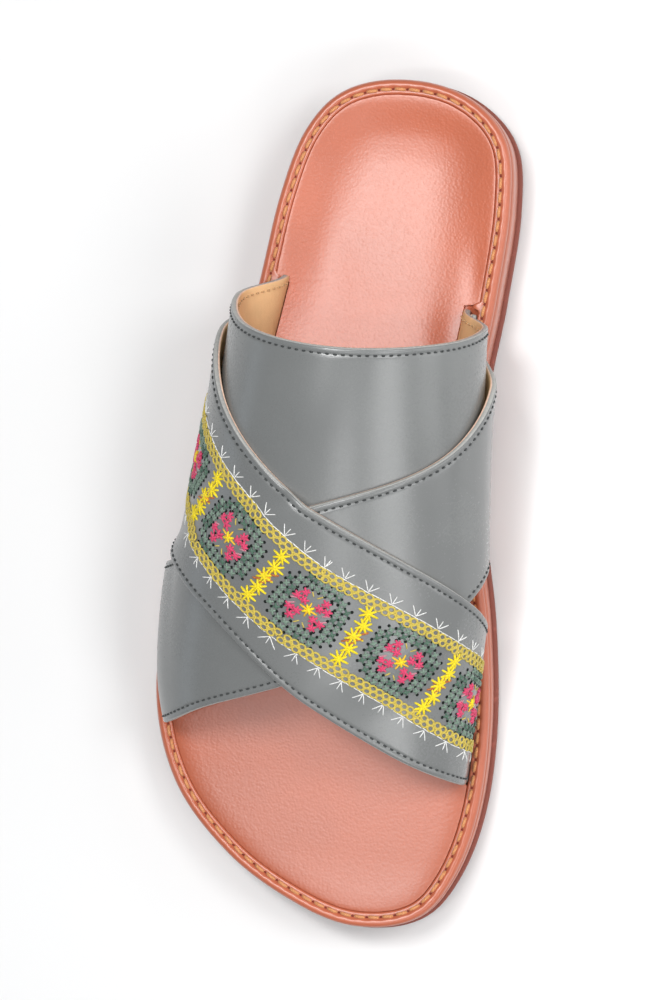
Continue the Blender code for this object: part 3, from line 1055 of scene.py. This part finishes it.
def make_strap(name, strap):
    """A strap from its fine grid: lining inside, two-layer edges, grey leather outside."""
    foot = np.array([FOOT_AROUND, FOOT_AROUND / 2])
    around = np.concatenate([-foot, np.linspace(0.0, 1.0, AROUND_STEPS + 1), 1 + foot[::-1]])
    rear_in = strap.from_edge(around, "rear", EDGE_SECTION[-1][0])
    front_in = strap.from_edge(around, "front", EDGE_SECTION[-1][0])
    rows, finishes = [], []

    def add(across, height, finish):
        rows.append(strap.face(around, across, np.full_like(around, height * WALL))[0])
        finishes.append(finish)

    def edge_finish(step):
        if step < LINING_STEPS - 1:
            return LINING_FACE
        if step < LINING_EDGE_STEPS:
            return LINING_CUT
        return GREY_CUT if step < GREY_EDGE_STEPS - 1 else GREY_FACE

    for step, (distance, height) in enumerate(EDGE_SECTION):
        add(strap.from_edge(around, "rear", distance), height, edge_finish(step))
    for share in np.linspace(0, 1, FIELD_STEPS + 1)[1:-1]:
        add(rear_in + (front_in - rear_in) * share, 1.0, GREY_FACE)
    for step in reversed(range(len(EDGE_SECTION))):
        distance, height = EDGE_SECTION[step]
        add(strap.from_edge(around, "front", distance), height, edge_finish(step - 1))
    low_rear = strap.from_edge(around, "rear", EDGE_SECTION[0][0])
    low_front = strap.from_edge(around, "front", EDGE_SECTION[0][0])
    for share in np.linspace(1, 0, LINING_FIELD_STEPS + 1)[1:-1]:
        add(low_rear + (low_front - low_rear) * share, 0.0, LINING_FACE)
    rows.append(rows[0])
    piece = close_seams(bent_grid(name, np.array(rows), finishes))
    bpy.ops.object.mode_set(mode="EDIT")
    bpy.ops.mesh.select_all(action="DESELECT")
    bpy.ops.mesh.select_non_manifold(extend=False)
    bpy.ops.mesh.fill()
    bpy.ops.mesh.select_all(action="SELECT")
    bpy.ops.mesh.normals_make_consistent(inside=False)
    bpy.ops.object.mode_set(mode="OBJECT")
    return keep(piece, "upper", grey_leather, lining_leather, lining_edge, grey_edge)


def even_run(points, pitch):
    """Lengths at equal distances along a path, and the length travelled at each of its points."""
    travelled = np.concatenate([[0.0], np.cumsum(np.linalg.norm(np.diff(points, axis=0), axis=1))])
    count = int(travelled[-1] / pitch)
    at = (np.arange(count) + 0.5) * travelled[-1] / count
    return at, travelled


def along_path(points, travelled, at):
    return np.stack([np.interp(at, travelled, points[:, k]) for k in range(3)], -1)


PATH_POINTS = 1500


def sew_edges(name, strap, edges, finish, inside=False):
    """Runs of small stitches beside the edges of a strap, on its outer face or on its lining."""
    starts, ends, lifted = [], [], []
    around = np.linspace(0.0, 1.0, PATH_POINTS)
    height = np.full_like(around, 0.0 if inside else SEWN_HEIGHT * WALL)
    for edge in edges:
        points, ups = strap.face(around, strap.from_edge(around, edge, EDGE_STITCH_INSET), height)
        at, travelled = even_run(points, EDGE_STITCH_PITCH)
        starts.append(along_path(points, travelled, at - EDGE_STITCH_LENGTH / 2))
        ends.append(along_path(points, travelled, at + EDGE_STITCH_LENGTH / 2))
        lifted.append(unit(along_path(ups, travelled, at)) * (-1 if inside else 1))
    parts = [np.concatenate(part) for part in (starts, ends, lifted)]
    return keep(sew_threads(name, *parts, EDGE_THREAD, finish), "upper")


# How the straps lie on each other, and where their rear edges stand off: around, start, top and end
REST_GAP = 0.34
MEDIAL_STAND = 1.5
MEDIAL_STAND_AROUND = (0.66, 0.86, 1.0)
LATERAL_STAND = 1.7
LATERAL_STAND_AROUND = (0.0, 0.13, 0.34)


def on_last(around, from_heel, across):
    return np.zeros_like(from_heel)


def on_saddle(around, from_heel, across):
    """Over the saddle, flared at the lateral rear corner, standing off beside the medial slit."""
    rise, fall = CORNER_AROUND
    flare = ramp(around, 0.0, rise) - ramp(around, rise, fall)
    stand = MEDIAL_STAND * hump(around, *MEDIAL_STAND_AROUND) * (1 - across) ** 3
    return LAYER_RISE + REST_GAP + CORNER_FLARE * flare * (1 - across) + stand


def on_plain_strap(around, from_heel, across):
    """Over the saddle, and over the plain strap wherever that lies under it."""
    rear, front = PLAIN_EDGES["rear"](around), PLAIN_EDGES["front"](around)
    over = ramp(from_heel, rear - CLIMB, rear) - ramp(from_heel, front, front + DESCENT)
    stand = LATERAL_STAND * hump(around, *LATERAL_STAND_AROUND) * (1 - across) ** 3
    return (LAYER_RISE + REST_GAP) * (1 + over) + stand


# The embroidered band


class Band:
    """Places on the embroidered strap by length along its middle line and distance square to it."""

    STEP = 0.7
    ALONG_STEP = 1.0
    MIDDLE_POINTS = 2001

    def __init__(self, strap):
        around = np.linspace(0.0, 1.0, self.MIDDLE_POINTS)
        middle = np.full_like(around, 0.5)
        points = strap.look_up(strap.points, around, middle)
        travelled = np.concatenate([[0.0], np.cumsum(np.linalg.norm(np.diff(points, axis=0), axis=1))])
        self.length = travelled[-1]
        self.count = int(self.length / self.ALONG_STEP)
        self.along = np.linspace(0.0, self.length, self.count + 1)
        start = np.interp(self.along, travelled, around)
        self.steps = int(BAND_REACH / self.STEP)
        reach = {sign: self.march(strap, start, sign) for sign in (1, -1)}
        self.places = np.concatenate([reach[-1][0][::-1], reach[1][0][1:]])
        self.outward = np.concatenate([reach[-1][1][::-1], reach[1][1][1:]])

    def march(self, strap, start, sign):
        """Walks from the middle line straight across the strap, over its outer face."""
        around, across = start.copy(), np.full_like(start, 0.5)
        run = np.gradient(strap.look_up(strap.points, around, across), axis=0)
        outward = unit(strap.look_up(strap.outward, around, across))
        heading = unit(np.cross(outward, run)) * sign
        wall = np.full_like(start, WALL)
        places, ups = [], []
        for _ in range(self.steps + 1):
            point, up = strap.face(around, across, wall)
            places.append(point)
            ups.append(up)
            heading = unit(heading - up * np.sum(heading * up, -1, keepdims=True))
            a = strap.look_up(strap.by_around, around, across)
            c = strap.look_up(strap.by_across, around, across)
            aa, ac, cc = np.sum(a * a, -1), np.sum(a * c, -1), np.sum(c * c, -1)
            ah, ch = np.sum(a * heading, -1), np.sum(c * heading, -1)
            scale = self.STEP / (aa * cc - ac * ac)
            around = around + (cc * ah - ac * ch) * scale
            across = across + (aa * ch - ac * ah) * scale
        return np.array(places), np.array(ups)

    def at(self, s, w):
        """Points and outward directions at lengths s and distances w."""
        i = np.clip(s / self.length * self.count, 0, self.count - 1e-6)
        j = np.clip(w / self.STEP + self.steps, 0, 2 * self.steps - 1e-6)
        i0, j0 = np.floor(i).astype(int), np.floor(j).astype(int)
        fi, fj = (i - i0)[:, None], (j - j0)[:, None]

        def mixed(grid):
            near = grid[j0, i0] * (1 - fj) + grid[j0 + 1, i0] * fj
            far = grid[j0, i0 + 1] * (1 - fj) + grid[j0 + 1, i0 + 1] * fj
            return near * (1 - fi) + far * fi

        return mixed(self.places), unit(mixed(self.outward))


# A quarter of one block, from its middle outwards: rows across, cells along.
# g green, m mauve, p pale, a dot is bare leather
QUARTER = (
    "..mgg",
    "...gg",
    "p..gg",
    "gggg.",
    "ggg..",
)


def block_cells():
    """Charted cells of a whole block, as letter, place along and place across from its middle."""
    for row, letters in enumerate(QUARTER):
        for column, letter in enumerate(letters):
            if letter == ".":
                continue
            for sign_along in (1, -1):
                for sign_across in (1, -1):
                    along = sign_along * (column + 0.5) * CELL_ALONG
                    across = sign_across * (row + 0.5) * CELL_ACROSS
                    yield letter, along, across


class Skein:
    """Threads of one colour, gathered as runs from one place on the band to another."""

    def __init__(self, name, finish, radius):
        self.name, self.finish, self.radius = name, finish, radius
        self.runs = []

    def run(self, s0, w0, s1, w1):
        self.runs.append([place + HAND.uniform(-UNEVEN, UNEVEN) for place in (s0, w0, s1, w1)])

    def sew(self, band):
        inside = [r for r in self.runs if min(r[0], r[2]) > 0.0 and max(r[0], r[2]) < band.length]
        s0, w0, s1, w1 = np.array(inside).T
        starts, _ = band.at(s0, w0)
        ends, _ = band.at(s1, w1)
        _, ups = band.at((s0 + s1) / 2, (w0 + w1) / 2)
        return keep(sew_threads(self.name, starts, ends, ups, self.radius, self.finish), "upper")


SHORT_RAY = 0.86


def star(skein, s, w, reach, turn=0.0, rays=4):
    """Crossed threads through one place."""
    for k in range(rays):
        angle = turn + math.pi * k / rays
        length = reach * (1.0 if k % 2 == 0 else SHORT_RAY)
        skein.run(
            s - length * math.cos(angle),
            w - length * math.sin(angle),
            s + length * math.cos(angle),
            w + length * math.sin(angle),
        )


# A petal's direction along and across, and its knots: distance out and aside
PETAL_ALONG = 0.806
PETAL_ACROSS = 0.592
PETAL_KNOTS = ((3.6, 0.0), (6.0, 1.45), (6.0, -1.45))
KNOT_REACH = 1.85
KNOT_STROKE = 1.1
KNOT_HOLE = 1.7


def petal(skeins, s, w, sign_along, sign_across):
    """A heart of three knots that points away from the block's middle. Gives its needle holes."""
    out_s, out_w = PETAL_ALONG * sign_along, PETAL_ACROSS * sign_across
    stroke_s, stroke_w = out_s * KNOT_STROKE, out_w * KNOT_STROKE
    holes = []
    for out, aside in PETAL_KNOTS:
        knot_s, knot_w = s + out_s * out - out_w * aside, w + out_w * out + out_s * aside
        star(skeins["pink"], knot_s, knot_w, KNOT_REACH, HAND.uniform(0.0, 1.0), 3)
        skeins["crimson"].run(knot_s - stroke_s, knot_w - stroke_w, knot_s + stroke_s, knot_w + stroke_w)
        holes.append((knot_s + out_s * KNOT_HOLE, knot_w + out_w * KNOT_HOLE))
    return holes


def gather_skeins():
    """An empty skein for each thread of the pattern, with the thread's radius."""
    rows = (
        ("sage", sage_thread, 0.40),
        ("green", green_thread, 0.40),
        ("pink", pink_thread, 0.42),
        ("crimson", crimson_thread, 0.40),
        ("mauve", mauve_thread, 0.28),
        ("yellow", yellow_thread, 0.46),
        ("gold", gold_thread, 0.36),
        ("straw", straw_thread, 0.32),
        ("orange", orange_thread, 0.38),
        ("russet", russet_thread, 0.36),
        ("pale", straw_thread, 0.22),
        ("white", white_thread, 0.18),
    )
    return {name: Skein("embroidery_" + name, finish, radius) for name, finish, radius in rows}


SAGE_SHARE = 0.62
CROSS_FILL = 0.84
# Stars at the heart of a block: thread, reach, turn
HEART_STARS = (("gold", 3.5, 0.0), ("yellow", 2.3, math.pi / 4), ("orange", 1.5, 0.4))


def flower_block(skeins, middle):
    """One block: green crosses round it, four petals and a star at its heart. Gives its needle holes."""
    a, c = CELL_ALONG / 2, CELL_ACROSS / 2
    reach_a, reach_c = a * CROSS_FILL, c * CROSS_FILL
    holes = []
    for letter, cell_s, cell_w in block_cells():
        s, w = middle + cell_s, cell_w
        if letter == "g":
            skein = skeins["sage"] if HAND.uniform(0.0, 1.0) < SAGE_SHARE else skeins["green"]
            skein.run(s - reach_a, w - reach_c, s + reach_a, w + reach_c)
            skein.run(s - reach_a, w + reach_c, s + reach_a, w - reach_c)
            holes += [(s + i * a, w + j * c) for i in (1, -1) for j in (1, -1)]
        elif letter == "m":
            skeins["mauve"].run(s - a, w - c * 0.8, s + a, w + c * 0.8)
        else:
            lean = 1 if cell_s * cell_w > 0 else -1
            skeins["pale"].run(s - a * 0.6 * lean, w - c * 0.7, s + a * 0.6 * lean, w + c * 0.7)
    for sign_along in (1, -1):
        for sign_across in (1, -1):
            holes += petal(skeins, middle, 0.0, sign_along, sign_across)
    for name, reach, turn in HEART_STARS:
        star(skeins[name], middle, 0.0, reach, turn, 2)
    return holes


STARS = 5
STAR_PITCH = 4.5
STAR_REACH = 3.7
STAR_SHIFT = 0.45
# Russet strokes among the stars: half length along and across, and their places
RUSSET_REACH = (1.1, 1.0)
RUSSET_STROKES = ((-1.7, 0.2), (1.6, -0.3), (0.0, 2.3), (0.3, -2.3), (-2.0, -2.6), (2.0, 2.4))


def star_row(skeins, middle):
    """The row of yellow stars between two blocks."""
    for k in range(STARS):
        shift = STAR_SHIFT if k % 2 else -STAR_SHIFT
        star(skeins["yellow"], middle + shift, STAR_PITCH * (k - STARS // 2), STAR_REACH)
    reach_s, reach_w = RUSSET_REACH
    for s, w in RUSSET_STROKES:
        skeins["russet"].run(middle + s - reach_s, w - reach_w, middle + s + reach_s, w + reach_w)
    star(skeins["orange"], middle, 0.0, 1.9, 0.5, 2)


OUTLINE_PITCH = 2.9
OUTLINE_STITCH = (-0.1, 3.0)
CHAIN_STROKE = 0.8
SPRIG_GAP = 0.2
# Arms of a sprig: lean in radians, share of its reach
SPRIG_ARMS = ((-0.72, 1.0), (0.66, 0.95), (0.05, 0.75))


def side_border(skeins, band, side):
    """White outline and sprigs on one side of the band, and short strokes over its chain."""
    white = skeins["white"]
    outline = side * OUTLINE_OFFSET
    for s in np.arange(1.0, band.length, OUTLINE_PITCH):
        white.run(s + OUTLINE_STITCH[0], outline, s + OUTLINE_STITCH[1], outline)
    for s in np.arange(2.0, band.length - 2.0, CHAIN_PITCH):
        near, far = side * CHAIN_OFFSETS[0], side * CHAIN_OFFSETS[1]
        skeins["straw"].run(s - CHAIN_STROKE, near, s + CHAIN_STROKE, far)
    for s in np.arange(4.0, band.length, SPRIG_PITCH):
        base = side * (OUTLINE_OFFSET + SPRIG_GAP)
        for lean, reach in SPRIG_ARMS:
            tip_s = s + SPRIG_REACH * reach * math.sin(lean)
            tip_w = base + side * SPRIG_REACH * reach * math.cos(lean)
            white.run(s, base, tip_s, tip_w)


def embroider(band):
    """Flower blocks in green frames, rows of stars between them, outlines, sprigs and chains."""
    skeins = gather_skeins()
    holes = []
    for block in range(BLOCKS):
        middle = block * REPEAT
        holes += flower_block(skeins, middle)
        star_row(skeins, middle + REPEAT / 2)
    for side in (1, -1):
        side_border(skeins, band, side)
    for skein in skeins.values():
        skein.sew(band)
    spots = np.array(sorted({(round(s, 2), round(w, 2)) for s, w in holes if 0 < s < band.length}))
    spots = spots + HAND.uniform(-UNEVEN, UNEVEN, spots.shape)
    places, ups = band.at(spots[:, 0], spots[:, 1])
    # needle holes as low beads painted dark with the shade inside a hole
    pressed = press_holes("embroidery_needle_hole_shade", places + ups * HOLE_RISE, ups, HOLE_RADIUS, grey_hole_shade)
    keep(pressed, "upper")
    chain(band)


# A link of the chain: half length, half width and thickness
CHAIN_LINK = (1.6, 1.2, 1.3)


def chain(band):
    """Two rows of small looped chain stitch along both sides of the blocks."""
    origins, alongs, sides, ups = [], [], [], []
    for side in (1, -1):
        for row, offset in enumerate(CHAIN_OFFSETS):
            s = np.arange(2.4 + row * CHAIN_PITCH / 2, band.length - 2.0, CHAIN_PITCH)
            s = s + HAND.uniform(-UNEVEN, UNEVEN, s.shape)
            w = side * offset + HAND.uniform(-UNEVEN, UNEVEN, s.shape)
            middle, up = band.at(s, w)
            ahead, _ = band.at(s + 0.5, w)
            behind, _ = band.at(s - 0.5, w)
            along = unit(ahead - behind)
            origins.append(middle)
            alongs.append(along * CHAIN_LINK[0])
            sides.append(np.cross(up, along) * CHAIN_LINK[1])
            ups.append(up * CHAIN_LINK[2])
    parts = [np.concatenate(part) for part in (origins, alongs, sides, ups)]
    return keep(sewn("embroidery_chain", RING, *parts, straw_thread), "upper")


# The whole sandal

_, rim_length = even_round(RIM_STITCH_INSET, 10)
rim_stitches = round(rim_length / RIM_STITCH_PITCH)
make_outsole()
make_tread()
make_platform(rim_stitches)
sew_rim(rim_stitches)
make_footbed()

saddle = Strap(SADDLE, on_last)
plain_strap = Strap(PLAIN_STRAP, on_saddle)
embroidered_strap = Strap(EMBROIDERED_STRAP, on_plain_strap)
saddle_piece = make_strap("instep_saddle", saddle)
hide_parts("upper")
make_strap("plain_cross_strap", plain_strap)
make_strap("embroidered_cross_strap", embroidered_strap)
sew_edges("saddle_stitches", saddle, ("rear", "front"), grey_thread)
sew_edges("saddle_lining_stitches", saddle, ("rear",), lining_thread, inside=True)
sew_edges("plain_strap_stitches", plain_strap, ("rear", "front"), grey_thread)
sew_edges("embroidered_strap_stitches", embroidered_strap, ("rear", "front"), grey_thread)
embroider(Band(embroidered_strap))


# Floor, light and camera


def pale_floor():
    start_fresh()
    bpy.ops.mesh.primitive_plane_add(size=8.0)
    floor = bpy.context.object
    floor.name = "pale_floor"
    finish = Finish("pale_paper", {"Specular IOR Level": 0.1})
    cloud = finish.noise(finish.place(), 3.0, 2.0)
    paper = finish.blend(cloud, (0.80, 0.80, 0.80, 1.0), (0.83, 0.83, 0.83, 1.0))
    floor.data.materials.append(finish.finish_with(paper, 0.9, cloud, 0.0001))


WHITE_LIGHT = (1.0, 1.0, 1.0)
COOL_LIGHT = (0.80, 0.90, 1.0)
# Place, aim, size, power and colour of each light
LIGHTS = {
    "side_window": ((0.60, 0.26, 0.95), (0.0, -0.02, 0.03), (0.4, 0.30), 3.6, WHITE_LIGHT),
    "low_window": ((0.90, 0.10, 0.38), (0.0, -0.03, 0.05), (0.7, 0.40), 2.2, WHITE_LIGHT),
    "right_window": ((0.64, -0.46, 0.86), (0.0, -0.02, 0.03), (0.46, 0.40), 2.9, WHITE_LIGHT),
    "left_window": ((-1.00, -0.25, 0.16), (0.0, -0.02, 0.05), (0.8, 0.24), 0.7, COOL_LIGHT),
    "front_window": ((0.14, -0.62, 1.05), (0.0, 0.08, 0.03), (0.30, 0.20), 1.2, WHITE_LIGHT),
    "overhead": ((-0.17, 0.28, 1.15), (0.0, 0.04, 0.03), (0.20, 0.30), 6.0, WHITE_LIGHT),
    "wide_overhead": ((0.04, 0.14, 1.15), (0.0, 0.06, 0.03), (0.26, 0.8), 2.7, WHITE_LIGHT),
    "front_sheen": ((-0.20, -0.19, 1.15), (0.0, -0.1, 0.03), (0.10, 0.10), 1.3, WHITE_LIGHT),
}
ROOM_COLOUR = (0.94, 0.97, 1.0, 1.0)
ROOM_STRENGTH = 0.13


def soft_light(name, place, aim, size, power, colour):
    start_fresh()
    bpy.ops.object.light_add(type="AREA", location=place)
    light = bpy.context.object
    light.name = name
    light.data.shape = "RECTANGLE"
    light.data.size, light.data.size_y = size
    light.data.energy = power
    light.data.color = colour
    light.rotation_euler = (Vector(aim) - Vector(place)).to_track_quat("-Z", "Y").to_euler()


def bright_room():
    world = bpy.data.worlds.new("bright_room")
    bpy.context.scene.world = world
    world.use_nodes = True
    background = world.node_tree.nodes["Background"]
    background.inputs["Color"].default_value = ROOM_COLOUR
    background.inputs["Strength"].default_value = ROOM_STRENGTH
    for name, settings in LIGHTS.items():
        soft_light(name, *settings)
    bpy.context.scene.view_settings.view_transform = "Standard"


EYE = Vector((0.1817, 0.0141, 1.113))
TARGET = Vector((0.0, 0.0, 0.03))
LEAN = math.radians(5.0)
LENS = 118.0
SENSOR = 36.0


def photo_camera():
    """The view from high over the medial side, with the toe at the foot of the picture."""
    start_fresh()
    bpy.ops.object.camera_add()
    camera = bpy.context.object
    camera.name = "photo_camera"
    back = (EYE - TARGET).normalized()
    right = Vector((-math.sin(LEAN), math.cos(LEAN), 0.0)).cross(back).normalized()
    up = back.cross(right)
    turned = Matrix((right, up, back)).transposed().to_4x4()
    camera.matrix_world = Matrix.Translation(EYE) @ turned
    camera.data.sensor_fit = "VERTICAL"
    camera.data.sensor_height = SENSOR
    camera.data.lens = LENS
    bpy.context.scene.camera = camera


pale_floor()
bright_room()
photo_camera()
